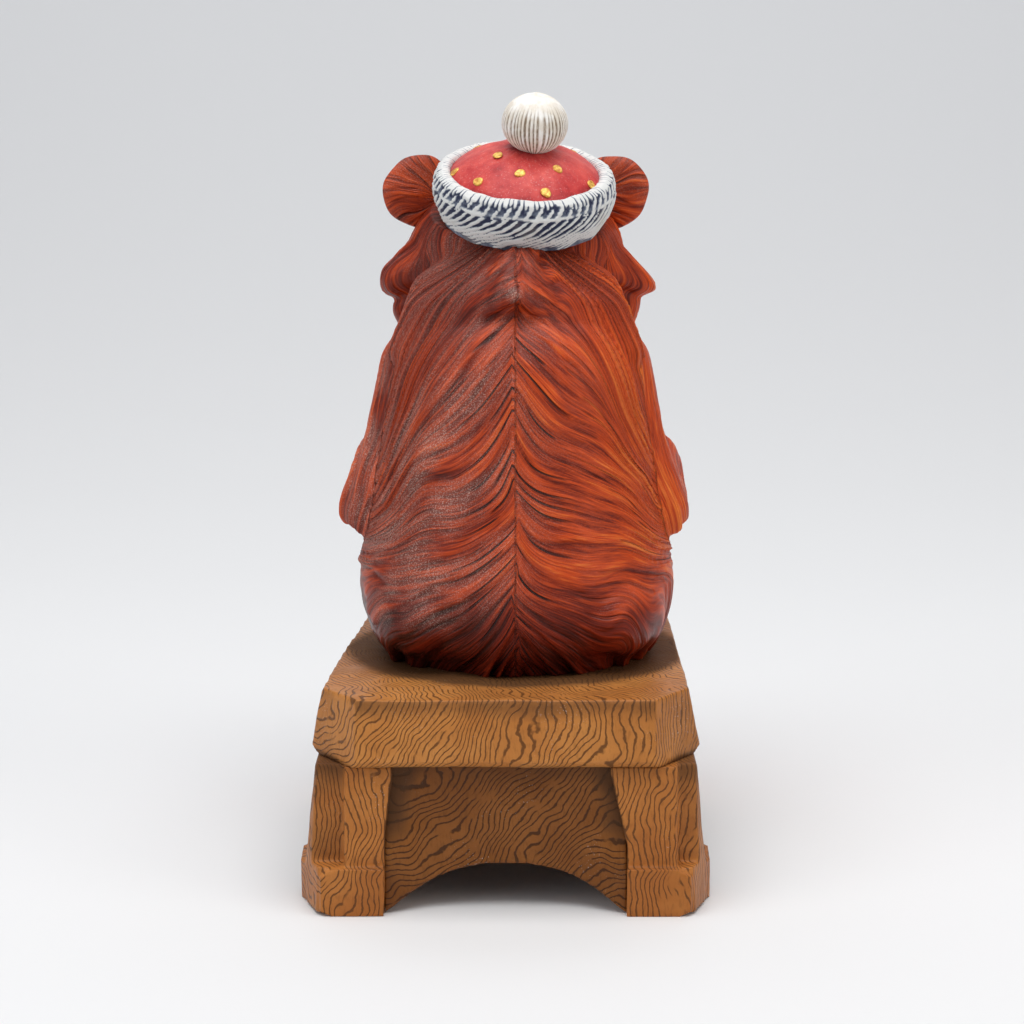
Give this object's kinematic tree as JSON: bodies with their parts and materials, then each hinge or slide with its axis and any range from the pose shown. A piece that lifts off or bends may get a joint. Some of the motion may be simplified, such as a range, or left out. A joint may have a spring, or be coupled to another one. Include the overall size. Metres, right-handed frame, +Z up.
{
  "type": "carved bear figurine",
  "caption": "Carved wooden bear in a round fur-trimmed hat with a bobble, sitting on a low stool with arched aprons.",
  "frame": {"origin": "on the surface that the stool stands on, at the centre of the figure's footprint box", "axes": "+Z up, the bear looks along -Y, +X is the bear's left"},
  "size_m": [0.086, 0.12, 0.1682],
  "materials": {
    "stool_wood": "satin varnish over painted grain lines",
    "dowel_wood": "raw",
    "bear_wood": "satin stain and varnish",
    "bead_black": "gloss",
    "trim_paint": "matt paint, white strands over navy",
    "crown_paint": "satin paint with gold dots",
    "bobble_paint": "matt paint",
    "screw_steel": "zinc plated"
  },
  "bodies": {
    "root": {"seat_board": "stool_wood", "stool_leg_rear_left": "stool_wood", "stool_leg_rear_right": "stool_wood", "stool_leg_front_left": "stool_wood", "stool_leg_front_right": "stool_wood", "apron_rear": "stool_wood", "apron_front": "stool_wood", "apron_left": "stool_wood", "apron_right": "stool_wood", "leg_dowels": "dowel_wood", "seat_screws": "screw_steel", "torso": "bear_wood", "arm_left": "bear_wood", "arm_right": "bear_wood", "hind_leg_left": "bear_wood", "hind_leg_right": "bear_wood", "shoulder_dowels": "dowel_wood", "hip_dowels": "dowel_wood", "neck_dowel": "dowel_wood", "head": "bear_wood", "ear_left": "bear_wood", "ear_right": "bear_wood", "eye_left": "bead_black", "eye_right": "bead_black", "nose": "bead_black", "hat_dowel": "dowel_wood", "hat_trim": "trim_paint", "hat_crown": "crown_paint", "bobble_pin": "screw_steel", "bobble": "bobble_paint"}
  },
  "joints": []
}
